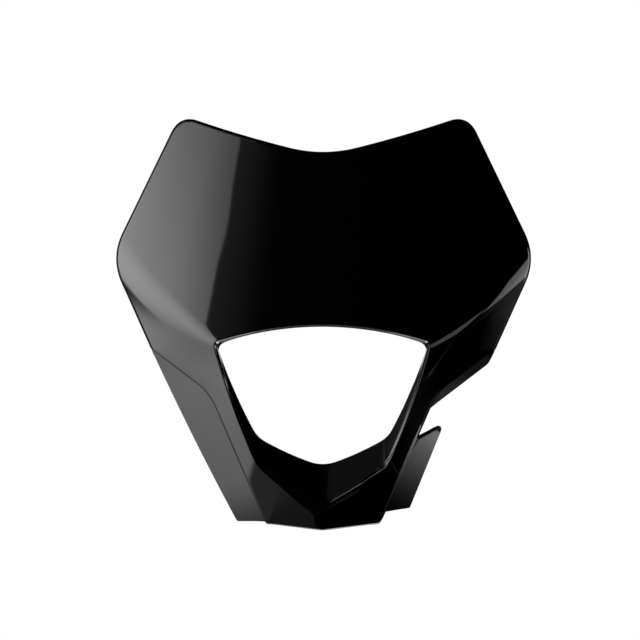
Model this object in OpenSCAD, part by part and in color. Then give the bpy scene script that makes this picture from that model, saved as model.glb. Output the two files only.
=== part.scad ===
// Headlight cowl of an enduro motorcycle: one thin injection-moulded shell.
// A curved number plate leans back above the lamp window. Two folded arms run down beside the
// window to a pointed chin. Behind the arms lie recessed side panels: a whole one at -X, and at
// +X one that is cut through by a notch for the brake hose.
// Millimetres. -Y is the front, +Z is up, and the origin is the centre of the lamp's four screw
// bosses, on the plane of their rear faces. Half profiles are written for the +X side.

/* [Wall] */
// Thickness of the moulded wall
wall = 2.5; // [2:0.1:3]
// Depth of the flange behind the outer rim
rim_d = 7.5; // [7:0.5:12]
// How far the plate's rim flange flares outward over its depth
rim_flare = 1.4; // [0.4:0.1:2.5]
// How far the arm's flange flares outward over its depth
arm_flare = 1.1; // [0.2:0.1:1.5]
// Reach of the rounding along the outer rim and the window's edge
edge_reach = 1.6; // [0.8:0.1:2.4]

/* [Number plate] */
// Height of the notch in the middle of the top edge
notch_z = 160.8; // [150:0.5:175]
// Reach of the rounding in that notch
notch_reach = 24; // [8:1:40]
// Half width between the top corners, before rounding
top_x = 97.4; // [85:0.5:110]
// Height of the top corners, before rounding
top_z = 188.9; // [175:0.5:205]
// Reach of the rounding at the top corners
top_reach = 13; // [6:1:20]
// Half width at the widest corners, before rounding
wide_x = 143.9; // [130:0.2:150]
// Height of the widest corners
wide_z = 92.4; // [80:0.2:105]
// Reach of the rounding at the widest corners
wide_reach = 19; // [8:1:30]
// Angle that the plate leans back
plate_lean = 21.8; // [12:0.2:30]
// Radius of the plate's curve across the brow
plate_r_brow = 235; // [200:5:320]
// Radius of the plate's curve across the top corners
plate_r_top = 168; // [140:2:240]
// How far the top edge hollows between the notch and a corner
top_hollow = 1.6; // [0:0.1:4]

/* [Lamp window] */
// Height of the window's top edge at the middle
brow_z = 46.7; // [40:0.5:54]
// Depth of the window's top edge at the middle, in front of the boss plane
brow_y = 45; // [38:1:52]
// Half width at the window's upper corners
eye_x = 73.8; // [66:0.2:80]
// Height of the window's upper corners
eye_z = 35.3; // [30:0.2:40]
// Reach of the rounding at the window's upper corners
eye_reach = 5; // [3:0.5:8]
// How far the window's side edges bow outward
side_bow = 2.2; // [0:0.1:4]
// Half width between the feet of the window's side edges
arm_x = 43.9; // [38:0.2:50]
// Height of the feet of the side edges, below the origin
arm_drop = 49; // [42:0.5:56]
// Depth of the feet of the side edges, in front of the boss plane
arm_y = 29; // [24:0.5:34]

/* [Window lip] */
// Half width of the rear lip at its upper corners
lip_x = 71.2; // [64:0.2:72]
// Height of the lip's upper corners
lip_z = 33; // [28:0.2:34]
// Half width between the lip's lower corners
lip_foot_x = 44.2; // [38:0.2:50]
// Height of the lip's lower corners, below the origin
lip_foot_drop = 29; // [22:0.2:34]
// Height of the lip's lowest point, below the origin
lip_low = 48.6; // [44:0.2:54]
// Depth of the lip's top, behind the window's top edge
lip_back = 9; // [6:0.5:14]
// Angle that the lip's plane leans, foot backwards
lip_lean = 20.8; // [10:0.2:28]
// How far the lip curves back at its widest
lip_curve = 8; // [3:0.5:12]
// Width of the small ledge inside the window's edge
ledge_w = 1; // [0.4:0.1:1.6]
// Depth of the ledge behind the window's edge
ledge_d = 2.6; // [2:0.1:4]

/* [Cheek and arm] */
// Half width where the side panel's step leaves the outline
step_x = 116; // [108:0.2:122]
// Height where the step leaves the outline
step_z = 30.3; // [24:0.2:36]
// Half width at the knee of the step
knee_x = 76.8; // [70:0.2:84]
// Height of the knee of the step
knee_z = 1.2; // [-6:0.2:8]
// Reach of the rounding at the knee
knee_reach = 12; // [4:1:18]
// Slope of the cheek, in depth over width
cheek_slope = 1.32; // [1:0.02:1.6]
// How far the shoulder crease sags below a straight line
crease_sag = 6; // [0:0.2:8]
// Reach of the crease's rounding at the window's corner
crease_reach_in = 4; // [2:0.5:8]

/* [Chin] */
// Half width of the chin's bottom corners
foot_x = 38.2; // [32:0.2:44]
// Height of the bottom corners, below the origin
foot_drop = 88; // [80:0.2:92]
// Depth of the bottom corners, in front of the boss plane
foot_y = 10; // [6:0.5:14]
// Reach of the rounding at the bottom corners
foot_reach = 1.6; // [1:0.2:4]
// Height of the chin's lowest point, below the origin
chin_drop = 92.6; // [86:0.2:98]
// Depth of the chin's lowest point, in front of the boss plane
chin_y = 29; // [24:0.5:34]
// Height of the nose line at the middle, below the origin
nose_drop = 79.2; // [72:0.2:82]
// Depth of the nose line at the middle, in front of the boss plane
nose_y = 38; // [33:0.5:43]
// Reach of the nose's bevel into the window
nose_reach = 4; // [3:0.5:8]
// Reach of the nose's bevel down the facets, at the middle
nose_fall = 7.8; // [5:0.2:10]
// How flat the bevel is: 0 is a full rounding, 1 a flat cut
nose_flat = 0.75; // [0:0.05:0.9]

/* [Side panels] */
// How far the panels lie behind the cheek's plane, along Y
panel_step = 4.6; // [3:0.1:6]
// The same where the step starts, on the outline
panel_start_step = 0.4; // [0.2:0.1:1.5]
// The same at the chin's corners
panel_foot_step = 6.6; // [5.5:0.1:8]
// Half width where the whole panel starts, at the top of its rear edge
panel_top_x = 117; // [106:0.2:118]
// Height of that point
panel_top_z = 29.6; // [18:0.2:32]
// Half width at the foot of the whole panel's rear edge
panel_foot_x = 58.6; // [52:0.2:66]
// Height of that foot, below the origin
panel_foot_drop = 87.2; // [80:0.2:92]
// How far the panel's rear edge bows outward
panel_bow = 1.1; // [0:0.1:3]
// Half width at the outer end of the notch's upper edge
strip_x = 107.4; // [100:0.2:112]
// Height of that point
strip_z = 16.4; // [10:0.2:22]
// Radius of the rounding at that point
strip_reach = 4; // [1:0.5:6]
// Half width where the notch's upper edge meets the arm
notch_in_x = 74; // [68:0.2:78]
// Height of that point, below the origin
notch_in_drop = 9.2; // [5:0.2:14]
// Half width at the tab's outer corner, before rounding
tab_x = 82.6; // [76:0.2:88]
// Height of that corner, below the origin
tab_top_drop = 20.2; // [14:0.2:24]
// Half width at the foot of the tab's rear edge
tab_foot_x = 59.2; // [52:0.2:64]
// Height of the tab's lower edge, below the origin
tab_drop = 77.8; // [70:0.2:82]
// Half width where the notch's lower edge meets the arm
tab_in_x = 62.3; // [58:0.2:66]
// Height of that point, below the origin
tab_in_drop = 31; // [26:0.2:36]
// Reach of the rounding at the tab's corners
tab_reach = 2; // [1:0.5:4]

/* [Lamp bosses] */
// Spacing of the lamp screws across the cowl
boss_dx = 94; // [90:1:98]
// Spacing of the lamp screws up the cowl
boss_dz = 104; // [100:1:108]
// Outer diameter of a boss
boss_d = 9; // [8:0.5:10]
// Diameter of the pilot hole for a self-tapping screw
pilot_d = 3.6; // [3:0.1:4.4]
// Depth of the pilot hole
pilot_depth = 14; // [10:1:18]
// Thickness of the ribs that brace a boss
rib_w = 1.6; // [1.2:0.1:2]
// Length of the ribs along the wall, from the boss's axis
rib_l = 11; // [8:0.5:13]
// How far the ribs stop short of the boss's face
rib_set = 10; // [6:1:16]

/* [Strap hooks and lugs] */
// Half distance between the strap hooks
hook_x = 104; // [96:1:110]
// Height of the strap hooks
hook_z = 108; // [98:1:120]
// Width of a strap hook
hook_w = 14; // [10:1:18]
// Thickness of a strap hook
hook_t = 3; // [2.4:0.2:4]
// How far a hook stands behind the plate
hook_l = 16; // [12:1:22]
// Length of the hook's turned end
hook_lip = 7; // [5:0.5:10]
// Half distance between the fender lugs
lug_x = 20; // [16:0.5:24]
// Width of a fender lug
lug_w = 12; // [8:0.5:14]
// Thickness of a fender lug
lug_t = 3; // [2.4:0.2:4]
// How far a lug reaches behind the chin's flange
lug_l = 16; // [10:1:22]

/* [Hidden] */
$fn = 48;

// Stations run round the window from the top middle, 0, to the chin's middle, 7.
SHOULDER = 2;
ARM_FOOT = 5;
LAST = 7;
// How many steps each stretch between stations has.
STEPS = [10, 10, 7, 6, 7, 4, 6];
// Samples over the outer skin, over the inner skin, and round an edge.
SKIN = 10;
INNER = 6;
ROUND = 3;
// Half a station step for tangents.
NUDGE = 0.01;
// Where the parts of the window's side and the arm's edge meet the stations, as shares of their length.
SIDE_SHARE = [[2, 0], [3, 0.2], [4, 0.48], [5, 1]];
ARM_SHARE = [[4, 0], [5, 0.66], [6, 1]];
NOSE_SHARE = [[5, 0], [6, 0.36], [7, 1]];
TOP_SHARE = [[0, 0], [1, 0.6], [2, 1]];
// How far the nose's bevel has opened at the stations, as a share of its width at the middle.
NOSE_FALL = [[4.7, 0], [5.2, 0.12], [6, 0.3], [6.5, 0.7], [7, 1]];
// Samples of the trimming surface, and how far back it reaches.
CORE = 5;
far_y = 90;
// How far the ledge's edge is eased forward.
ledge_soft = 0.3;
// How far the cutting outlines of the notched panel reach past it.
clear_in = 40;
clear_up = 40;
clear_down = 5;
// Slopes of the hose notch's two edges.
notch_slope = (strip_z + notch_in_drop) / (strip_x - notch_in_x);
tab_slope = (tab_in_drop - tab_top_drop) / (tab_x - tab_in_x);
// Depth of a buried root inside the wall that carries it.
root = wall / 2;

function mix(a, b, t) = a + (b - a) * t;
function bend(a, b, c, t) = mix(mix(a, b, t), mix(b, c, t), t);
function flip(p) = [-p.x, p.y, p.z];
function unit(v) = v / norm(v);
function flat(p) = [p.x, p.z];
function lift(q, y) = [q.x, y, q.y];

// The plate is a cone that leans back: its radius falls from the brow to the top.
function plate_r(z) = mix(plate_r_brow, plate_r_top, (z - brow_z) / (top_z - brow_z));
function plate_y(x, z) =
    -brow_y + tan(plate_lean) * (z - brow_z) + plate_r(z) - sqrt(plate_r(z) ^ 2 - x ^ 2);
function on_plate(x, z) = [x, plate_y(x, z), z];

// Corner points of the rails, on the +X side.
eye = on_plate(eye_x, eye_z);
wide = on_plate(wide_x, wide_z);
arm_foot = [arm_x, -arm_y, -arm_drop];
nose = [0, -nose_y, -nose_drop];
// The cheek is a plane through the window's corner and the arm's foot, so its fall in depth
// over height follows from its slope across.
cheek_fall = (arm_foot.y - eye.y - cheek_slope * (arm_foot.x - eye.x)) / (arm_foot.z - eye.z);
function on_cheek(x, z) = [x, eye.y + cheek_slope * (x - eye.x) + cheek_fall * (z - eye.z), z];
step_start = on_cheek(step_x, step_z);
knee = on_cheek(knee_x, knee_z);
foot = [foot_x, -foot_y, -foot_drop];
chin = [0, -chin_y, -chin_drop];
arm_end_share = ARM_SHARE[1][1];
arm_end = on_cheek(mix(knee_x, foot_x, arm_end_share), mix(knee_z, -foot_drop, arm_end_share));

// A span is [start, end, bow, shares]: a line with a bow, and where the stations lie on it.
function span_at(span, s) =
    let (f = lookup(s, span[3])) mix(span[0], span[1], f) + span[2] * 4 * f * (1 - f);
function straight(a, b, s) = [a, b, [0, 0, 0], [[s, 0], [s + 1, 1]]];
function rail_at(spans, s) =
    span_at([for (n = spans) if (s <= n[3][len(n[3]) - 1][0] + 1e-9) n][0], s);

// How the nose line and the lip's lower edge bow, down and forward.
nose_bow = [-0.6, -1.5, -1.4];
lip_bow = [0, 0, -1.6];
front_rail = [
    [[0, -brow_y, brow_z], eye, [0, 0, (brow_z - eye_z) / 4], TOP_SHARE],
    [eye, arm_foot, [side_bow * 0.93, 0, -side_bow * 0.37], SIDE_SHARE],
    [arm_foot, nose, nose_bow, NOSE_SHARE],
];
fold_rail = [
    [on_plate(0, notch_z), on_plate(top_x, top_z), [0.3 * top_hollow, 0, -top_hollow], [[0, 0], [1, 1]]],
    straight(on_plate(top_x, top_z), wide, 1),
    straight(wide, step_start, 2),
    straight(step_start, knee, 3),
    [knee, arm_end, [0, 0, 0], [[4, 0], [5, 1]]],
    straight(arm_end, foot, 5),
    straight(foot, chin, 6),
];
// The window's rear lip.
function lip_y(x, z) =
    -brow_y + lip_back + tan(lip_lean) * (brow_z - z) + lip_curve * (x / lip_x) ^ 2;
function on_lip(x, z) = [x, lip_y(x, z), z];
lip_rail = [
    [on_lip(0, brow_z), on_lip(lip_x, lip_z), [0, 0, (brow_z - lip_z) / 4], TOP_SHARE],
    [on_lip(lip_x, lip_z), on_lip(lip_foot_x, -lip_foot_drop), [side_bow * 0.7, 0, -side_bow * 0.3], SIDE_SHARE],
    [on_lip(lip_foot_x, -lip_foot_drop), on_lip(0, -lip_low), lip_bow, NOSE_SHARE],
];
// Reaches of the roundings that the eye hardly finds: along the window's side, at the arm's
// foot, along the nose, at the lip's low point, where the step starts, along the arm's edge
// and at the chin's point.
side_reach = 10;
arm_foot_reach = 6;
nose_turn = 3;
lip_low_reach = 9;
step_reach = 2;
arm_reach = 4;
chin_reach = 6;
// Reach of the rounding at each station, on each rail.
front_reach = [0, 0, crease_reach_in, side_reach, side_reach, arm_foot_reach, nose_turn, side_reach];
fold_reach = [notch_reach, top_reach, wide_reach, step_reach, knee_reach, arm_reach, foot_reach, chin_reach];
lip_reach = [0, 0, eye_reach, side_reach, side_reach, arm_foot_reach, nose_turn, lip_low_reach];

// A reach as a share of the stretch from a to b, short of its middle.
function reach_share(reach, a, b) = min(0.45, reach / max(norm(b - a), 0.01));

// The sharp surface between the window's edge, u = 0, and the outer fold, u = 1.
function crease_bow(s, u) =
    crease_sag * 4 * u * (1 - u) * max(0, 1 - abs(s - SHOULDER)) * [0.63, 0, -0.77];
function chord(s, u) = mix(rail_at(front_rail, s), rail_at(fold_rail, s), u) + crease_bow(s, u);
function crease_lift(u) = let (p = chord(SHOULDER, u)) plate_y(p.x, p.z) - p.y;
function sharp(s, u) =
    s < 0 ? flip(sharp(-s, u)) :
    s > LAST ? flip(sharp(2 * LAST - s, u)) :
    let (p = chord(s, u))
    s <= SHOULDER ? on_plate(p.x, p.z)
        : p + [0, crease_lift(u) * max(0, 1 - (s - SHOULDER) / 2) ^ 2, 0];

// The same surface with its creases and corners rounded.
function skin(s, u) =
    let (
        k = round(s),
        here = sharp(k, u),
        reach = mix(front_reach[k], fold_reach[k], u ^ 0.6),
        before = reach_share(reach, sharp(k - 1, u), here),
        after = reach_share(reach, here, sharp(k + 1, u)),
        t = (s - k + before) / max(before + after, 1e-6),
        p = t > 0 && t < 1 ? bend(sharp(k - before, u), here, sharp(k + after, u), t) : sharp(s, u)
    )
    k < SHOULDER ? on_plate(p.x, p.z) : p;

function lip_sharp(s) =
    s < 0 ? flip(rail_at(lip_rail, -s)) : s > LAST ? flip(rail_at(lip_rail, 2 * LAST - s)) : rail_at(lip_rail, s);
function lip(s) =
    let (
        k = round(s),
        here = lip_sharp(k),
        before = reach_share(lip_reach[k], lip_sharp(k - 1), here),
        after = reach_share(lip_reach[k], here, lip_sharp(k + 1)),
        t = (s - k + before) / max(before + after, 1e-6)
    )
    t > 0 && t < 1 ? bend(lip_sharp(k - before), here, lip_sharp(k + after), t) : lip_sharp(s);

// Directions at a station: away from the window in the front plane, and the skin's own normal.
function away(a, b) = let (d = unit(flat(b - a))) [-d.y, d.x];
function fold_away(s) = away(skin(s - NUDGE, 1), skin(s + NUDGE, 1));
function front_away(s) = away(skin(s - NUDGE, 0), skin(s + NUDGE, 0));
function lip_away(s) = away(lip(s - NUDGE), lip(s + NUDGE));
function normal(s, u) =
    let (v = min(max(u, NUDGE), 1 - NUDGE))
    unit(cross(skin(s + NUDGE, v) - skin(s - NUDGE, v), skin(s, v + NUDGE) - skin(s, v - NUDGE)));

// The rim's flange runs straight back, with a little flare.
function flare(s) = lookup(s, [
    [0, rim_flare], [2, rim_flare], [2.4, arm_flare], [5.8, arm_flare], [6.2, 0], [7, 0],
]);
function flange(s, h) =
    let (m = fold_away(s) * flare(s) * h / rim_d) skin(s, 1) + [m.x, h, m.y];

// The cowl's section at a station, as a closed loop of points.
function section(s) =
    let (
        edge = skin(s, 0),
        fold = skin(s, 1),
        back = lip(s),
        across = norm(fold - edge),
        deep = norm(back - edge),
        nose_share = max(0, min(1, (s - 4.7) / 0.5)),
        reach = mix(edge_reach, nose_reach, nose_share),
        fall = max(edge_reach * (1 - nose_share), nose_fall * lookup(s, NOSE_FALL)),
        in_u = min(fall / across, 0.8),
        in_w = reach / deep,
        out_u = 1 - edge_reach / across,
        ledge = ledge_w * (1 - nose_share),
        ledge_share = (ledge_d + reach) / deep,
        inward = -lift(front_away(s), 0),
        ledge_top = mix(edge, back, ledge_share),
        start = ledge_top + inward * ledge * 0.5,
        turn_in = mix(edge, back, in_w),
        turn_out = skin(s, in_u),
        turn = mix(edge, (turn_in + turn_out) / 2, nose_flat * nose_share),
        fold_m = fold_away(s),
        chord_dir = unit(flat(fold - edge)),
        chord_len = norm(flat(fold - edge)),
        u_in = wall / (chord_len * max(0.5, abs(chord_dir * front_away(s)))),
        u_out = 1 - wall / (chord_len * max(0.5, abs(chord_dir * fold_m))),
        lip_m = lip_away(s),
        wall_n = unit(cross(lip(s + NUDGE) - lip(s - NUDGE), back - edge)),
        lip_off = wall / max(0.5, abs(wall_n * lift(lip_m, 0)))
    )
    [
        back,
        ledge_top + inward * ledge,
        start - [0, ledge_soft, 0],
        each [for (i = [0:ROUND]) bend(turn_in, turn, turn_out, i / ROUND)],
        each [for (i = [1:SKIN - 1]) skin(s, mix(in_u, out_u, i / SKIN))],
        each [for (i = [0:ROUND]) bend(skin(s, out_u), fold, flange(s, edge_reach), i / ROUND)],
        flange(s, rim_d),
        flange(s, rim_d) - wall * lift(fold_m, 0),
        each [for (i = [0:INNER])
            let (u = mix(u_out, u_in, i / INNER)) skin(s, u) + [0, wall / abs(normal(s, u).y), 0]],
        back + lip_off * lift(lip_m, 0),
    ];

// Stations crowd towards the corners, where the outline turns.
function crowd(t) = t - 0.11 * sin(360 * t);
half_stations = [for (k = [0:LAST - 1]) for (i = [0:STEPS[k] - 1]) k + crowd(i / STEPS[k])];

function grid_faces(rows, cols, close_rows, close_cols) = [
    for (i = [0:rows - (close_rows ? 1 : 2)]) for (j = [0:cols - (close_cols ? 1 : 2)])
        let (
            i2 = (i + 1) % rows,
            j2 = (j + 1) % cols,
            a = i * cols + j,
            b = i2 * cols + j,
            c = i2 * cols + j2,
            d = i * cols + j2
        )
        each (2 * i < rows && close_rows ? [[a, d, b], [b, d, c]] : [[a, c, b], [a, d, c]]),
];
function flat_list(rows) = [for (r = rows) each r];

// The moulded skin: sections joined in a ring round the window.
module ring(right) {
    count = len(right);
    left = [for (i = [count - 2:-1:1]) [for (p = right[i]) flip(p)]];
    rings = concat(right, left);
    polyhedron(flat_list(rings), grid_faces(len(rings), len(rings[0]), true, true));
}
module shell() ring([for (s = concat(half_stations, [LAST])) section(s)]);

// The room behind the skin's middle surface: every screw boss, rib and hook is trimmed to it.
function core_section(s) =
    let (
        back = lip(s) + lift(lip_away(s), 0) * root,
        m = -lift(fold_away(s), 0) * root,
        top = skin(s, 1) + m
    )
    [
        back,
        each [for (i = [0:CORE]) let (u = mix(0.12, 0.96, i / CORE))
            skin(s, u) + [0, root / abs(normal(s, u).y), 0] + m * (i == CORE ? 1 : 0)],
        [top.x, far_y, top.z],
        [back.x, far_y, back.z],
    ];
module core() ring([for (s = concat(half_stations, [LAST])) core_section(s)]);

// A side panel's section at a station, from its root inside the arm's flange to its rear edge.
function panel_share(s) = s < 4 ? 0.3 * (s - 3) : mix(0.3, 1, lookup(s, ARM_SHARE));
function behind_cheek(q, s) = on_cheek(q.x, q.y)
    + [0, lookup(s, [[3, panel_start_step], [3.6, panel_step], [5, panel_step], [6, panel_foot_step]]), 0];
function panel_rear(s) = let (f = panel_share(s)) behind_cheek(
    mix([panel_top_x, panel_top_z], [panel_foot_x, -panel_foot_drop], f)
        + panel_bow * 4 * f * (1 - f) * [0.9, -0.4], s);
function panel_root(s) = behind_cheek(flat(skin(s, 1)) - root * fold_away(s), s);
function panel_section(s) =
    let (
        a = panel_root(s),
        b = panel_rear(s),
        n = wall * unit(cross(b - a, panel_rear(s + NUDGE) - panel_rear(s - NUDGE)))
    )
    [a, b, b + n, a + n];
panel_stations = [for (k = [3:5]) for (i = [0:STEPS[k] - 1]) k + i / STEPS[k], 6 - NUDGE];
module panel() {
    rows = [for (s = panel_stations) panel_section(s)];
    n = len(rows);
    polyhedron(
        flat_list(rows),
        concat(grid_faces(n, 4, false, true), [[3, 2, 1, 0]], [[4 * n - 4, 4 * n - 3, 4 * n - 2, 4 * n - 1]])
    );
}

// The two pieces that the hose notch leaves of the panel at +X, seen from the front.
rear_slope = (panel_top_x - strip_x) / (panel_top_z - strip_z);
module strip_outline() round_corners(strip_reach) polygon([
    [notch_in_x - clear_in, -notch_in_drop - clear_in * notch_slope], [strip_x, strip_z],
    [strip_x + clear_up * rear_slope, strip_z + clear_up],
    [notch_in_x - clear_in, strip_z + clear_up],
]);
module tab_outline() round_corners(tab_reach) polygon([
    [tab_in_x - clear_in, -tab_in_drop - clear_in * tab_slope], [tab_x, -tab_top_drop],
    [tab_foot_x, -tab_drop], [tab_in_x - clear_in, -tab_drop - clear_down],
]);
module round_corners(r) offset(r) offset(-r) children();
module notched_panel() {
    intersection() {
        panel();
        rotate([90, 0, 0])
            translate([0, 0, -far_y])
                linear_extrude(2 * far_y) {
                    strip_outline();
                    tab_outline();
                }
    }
}

// A lamp screw's boss, with its blind pilot hole, axis along Y.
module boss_body(x, z) {
    translate([x, 0, z])
        rotate([90, 0, 0])
            cylinder(d = boss_d, h = brow_y);
    for (a = [0, 90])
        translate([x, -rib_set, z])
            rotate([0, a, 0])
                translate([-rib_w / 2, 1 - brow_y, -rib_l])
                    cube([rib_w, brow_y - 1, 2 * rib_l]);
}
module pilot(x, z) {
    translate([x, 1, z])
        rotate([90, 0, 0])
            cylinder(d = pilot_d, h = pilot_depth + 1);
}
// A hook for the rubber strap that holds the cowl on the fork.
module hook(side) {
    face_y = plate_y(hook_x, hook_z) + wall;
    translate([side * hook_x, 0, hook_z]) {
        translate([-hook_t / 2, 0, -hook_w / 2])
            cube([hook_t, face_y + hook_l, hook_w]);
        translate([side > 0 ? -hook_t / 2 : hook_t / 2 - hook_lip, face_y + hook_l - hook_t, -hook_w / 2])
            cube([hook_lip, hook_t, hook_w]);
    }
}

// A flat lug behind the chin, which rests on the front fender.
module lug(side) {
    p = skin(6.5, 1);
    tilt = atan((chin_drop - foot_drop) / foot_x);
    translate([side * lug_x, mix(p.y, 0, 0.2), -mix(chin_drop, foot_drop, lug_x / foot_x)])
        rotate([0, -side * tilt, 0])
            translate([-lug_w / 2, 0, wall * 0.15])
                cube([lug_w, rim_d + lug_l, lug_t]);
}

module cowl() {
    color([0.03, 0.03, 0.035])
        difference() {
            union() {
                shell();
                mirror([1, 0, 0]) panel();
                notched_panel();
                for (side = [-1, 1]) lug(side);
                intersection() {
                    core();
                    union() {
                        for (sx = [-1, 1]) for (sz = [-1, 1]) boss_body(sx * boss_dx / 2, sz * boss_dz / 2);
                        for (side = [-1, 1]) hook(side);
                    }
                }
            }
            for (sx = [-1, 1]) for (sz = [-1, 1]) pilot(sx * boss_dx / 2, sz * boss_dz / 2);
        }
}

cowl();
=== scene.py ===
# %% [markdown]
# # A moulded headlight cowl, in gloss black
#
# This cowl is one injection-moulded shell: a curved number plate, a lamp window, two folded
# arms, side panels and a pointed chin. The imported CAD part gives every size. Here the same
# rules are followed with far more samples, because gloss black plastic is a mirror: what is
# seen is the studio's reflection, and a coarse mesh would break it into facets.

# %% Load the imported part
import math

import bpy
import numpy as np
from mathutils import Matrix, Vector
from mathutils.bvhtree import BVHTree


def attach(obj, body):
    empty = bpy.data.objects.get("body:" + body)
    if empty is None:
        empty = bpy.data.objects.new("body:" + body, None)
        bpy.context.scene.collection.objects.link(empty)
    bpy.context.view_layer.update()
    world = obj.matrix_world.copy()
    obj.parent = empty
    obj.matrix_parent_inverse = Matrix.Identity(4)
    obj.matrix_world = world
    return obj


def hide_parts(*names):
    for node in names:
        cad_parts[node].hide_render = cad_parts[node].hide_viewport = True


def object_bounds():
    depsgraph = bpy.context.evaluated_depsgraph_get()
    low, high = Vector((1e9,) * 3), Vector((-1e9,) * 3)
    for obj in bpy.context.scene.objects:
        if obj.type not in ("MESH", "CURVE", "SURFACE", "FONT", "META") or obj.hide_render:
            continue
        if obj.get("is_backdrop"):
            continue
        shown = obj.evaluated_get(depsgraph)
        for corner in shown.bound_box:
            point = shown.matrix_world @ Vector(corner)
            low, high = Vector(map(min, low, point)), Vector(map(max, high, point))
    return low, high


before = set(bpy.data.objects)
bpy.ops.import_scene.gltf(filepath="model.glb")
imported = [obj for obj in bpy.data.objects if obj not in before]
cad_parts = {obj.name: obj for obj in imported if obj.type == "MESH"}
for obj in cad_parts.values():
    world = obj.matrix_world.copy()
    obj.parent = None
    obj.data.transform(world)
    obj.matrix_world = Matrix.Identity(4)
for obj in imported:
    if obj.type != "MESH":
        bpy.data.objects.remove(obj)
scene = bpy.context.scene
cad_low, cad_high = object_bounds()
print("CAD box, mm:", [round(v * 1000, 1) for v in cad_high - cad_low])

# %% [markdown]
# ## Small tools
# All shape work is in millimetres. Points are rows of an array, so one call moves many.

# %% Tools for points
MM = 0.001
X, Y, Z = np.eye(3)


def mix(a, b, t):
    return a + (b - a) * t


def column(values):
    return np.asarray(values, float)[..., None]


def length(v):
    return np.sqrt((v * v).sum(-1))


def unit(v):
    return v / np.maximum(column(length(v)), 1e-9)


def flipped(p):
    return p * np.array([-1.0, 1.0, 1.0])


def bend(a, b, c, t):
    """A parabola from a to c that leaves towards b."""
    return mix(mix(a, b, t), mix(b, c, t), t)


def arch(t):
    """Zero at 0 and 1, one in the middle."""
    return 4 * t * (1 - t)


print("halfway round a bend:", bend(X, Y, Z, 0.5))


# %% [markdown]
# ## Sizes
# The same sizes as the CAD part's. The wall is 2.5 mm, as such mouldings have. Corners of the
# front view are pairs of x and z, in millimetres from the middle of the lamp's four screws.

# %% Sizes of the cowl
WALL, EDGE = 2.5, 1.6  # the wall, and how round its edges are
ROOT = WALL / 2  # how deep in a flange a side panel starts
RIM_D, RIM_FLARE, ARM_FLARE = 7.5, 1.4, 1.1  # the flange's depth, and how far it leans out
LEAN, R_BROW, R_TOP = 21.8, 235.0, 168.0  # the plate leans back on a cone with these radii
NOTCH_Z, TOP, WIDE = 160.8, (97.4, 188.9), (143.9, 92.4)  # the plate's outline
TOP_HOLLOW = 1.6  # how far the top edge sags between its notch and its corner
BROW_Y, BROW_Z, EYE = 45.0, 46.7, (73.8, 35.3)  # the window's upper edge and its corner
SIDE_BOW = 2.2  # how far the window's sides bulge
ARM_FOOT = np.array([43.9, -29.0, -49.0])  # x, y, z where the window's side meets the chin
NOSE = np.array([0.0, -38.0, -79.2])
FOOT = np.array([38.2, -10.0, -88.0])  # the arm's outer end
CHIN = np.array([0.0, -29.0, -92.6])
STEP, KNEE = (116.0, 30.3), (76.8, 1.2)  # corners of the arm's outer fold
CHEEK_SLOPE, CREASE_SAG, CREASE_IN = 1.32, 6.0, 4.0  # the arm's plane and the shoulder crease
LIP_X, LIP_Z, LIP_FOOT, LIP_LOW = 71.2, 33.0, (44.2, -29.0), -48.6  # the window's rear lip
LIP_BACK, LIP_LEAN, LIP_CURVE = 9.0, 20.8, 8.0  # how far behind the brow the lip lies, and its lean
LEDGE_W, LEDGE_D = 1.0, 2.6  # the thin ledge inside the window
NOSE_REACH, NOSE_FALL, NOSE_FLAT = 4.0, 7.8, 0.75  # the chin's bevelled fold
PANEL_STEP, PANEL_START_STEP, PANEL_FOOT_STEP = 4.6, 0.4, 6.6  # how far behind the arm's plane
PANEL_BOW = 1.1  # how far a side panel's rear edge bulges between its two ends
PANEL_TOP = np.array([117.0, 0.0, 29.6])
PANEL_FOOT = np.array([58.6, 0.0, -87.2])
STRIP, NOTCH_IN = (107.4, 16.4), (74.0, -9.2)  # the strip's lower edge, above the hose notch
TAB_IN, TAB, TAB_FOOT = (62.3, -31.0), (82.6, -20.2), (59.2, -77.8)  # corners of the tab
BOSS_X, BOSS_Z, BOSS_R, PILOT_R, PILOT_D = 47.0, 52.0, 4.5, 1.8, 14.0  # lamp bosses, pilot holes
HOOK_X, HOOK_Z, HOOK_W, HOOK_T, HOOK_L, HOOK_LIP = 104.0, 108.0, 14.0, 3.0, 16.0, 7.0
LUG_X, LUG_W, LUG_T, LUG_L = 20.0, 12.0, 3.0, 16.0  # place, width, thickness and length
HOOK_SINK, LUG_SINK = 1.2, 0.15  # into the wall: millimetres, and a share of the wall
LAST = 7  # the chin's station
SECTIONS = [72, 56, 40, 34, 34, 18, 30]  # how many sections lie between two stations
print("plate before its corners are rounded, mm:", 2 * WIDE[0], "x", round(TOP[1] - BROW_Z, 1))

# %% [markdown]
# ## The plate and the rails
# The plate is a cone that leans back. Rails run round the window from the top middle,
# station 0, to the chin's middle, station 7: the window's edge, the outer fold and the lip.

# %% The plate, the cheek and the rails
def plate_y(x, z):
    """The depth of the plate's cone."""
    r = mix(R_BROW, R_TOP, (z - BROW_Z) / (TOP[1] - BROW_Z))
    return -BROW_Y + math.tan(math.radians(LEAN)) * (z - BROW_Z) + r - np.sqrt(r * r - x * x)


def on_plate(x, z):
    return np.array([x, plate_y(x, z), z])


EYE_P, TOP_P, WIDE_P = on_plate(*EYE), on_plate(*TOP), on_plate(*WIDE)
over, back_by, down = ARM_FOOT - EYE_P
CHEEK_FALL = (back_by - CHEEK_SLOPE * over) / down


def cheek_y(x, z):
    """The depth of the arm's plane, the cheek."""
    return EYE_P[1] + CHEEK_SLOPE * (x - EYE_P[0]) + CHEEK_FALL * (z - EYE_P[2])


def on_cheek(x, z):
    return np.array([x, cheek_y(x, z), z])


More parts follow.
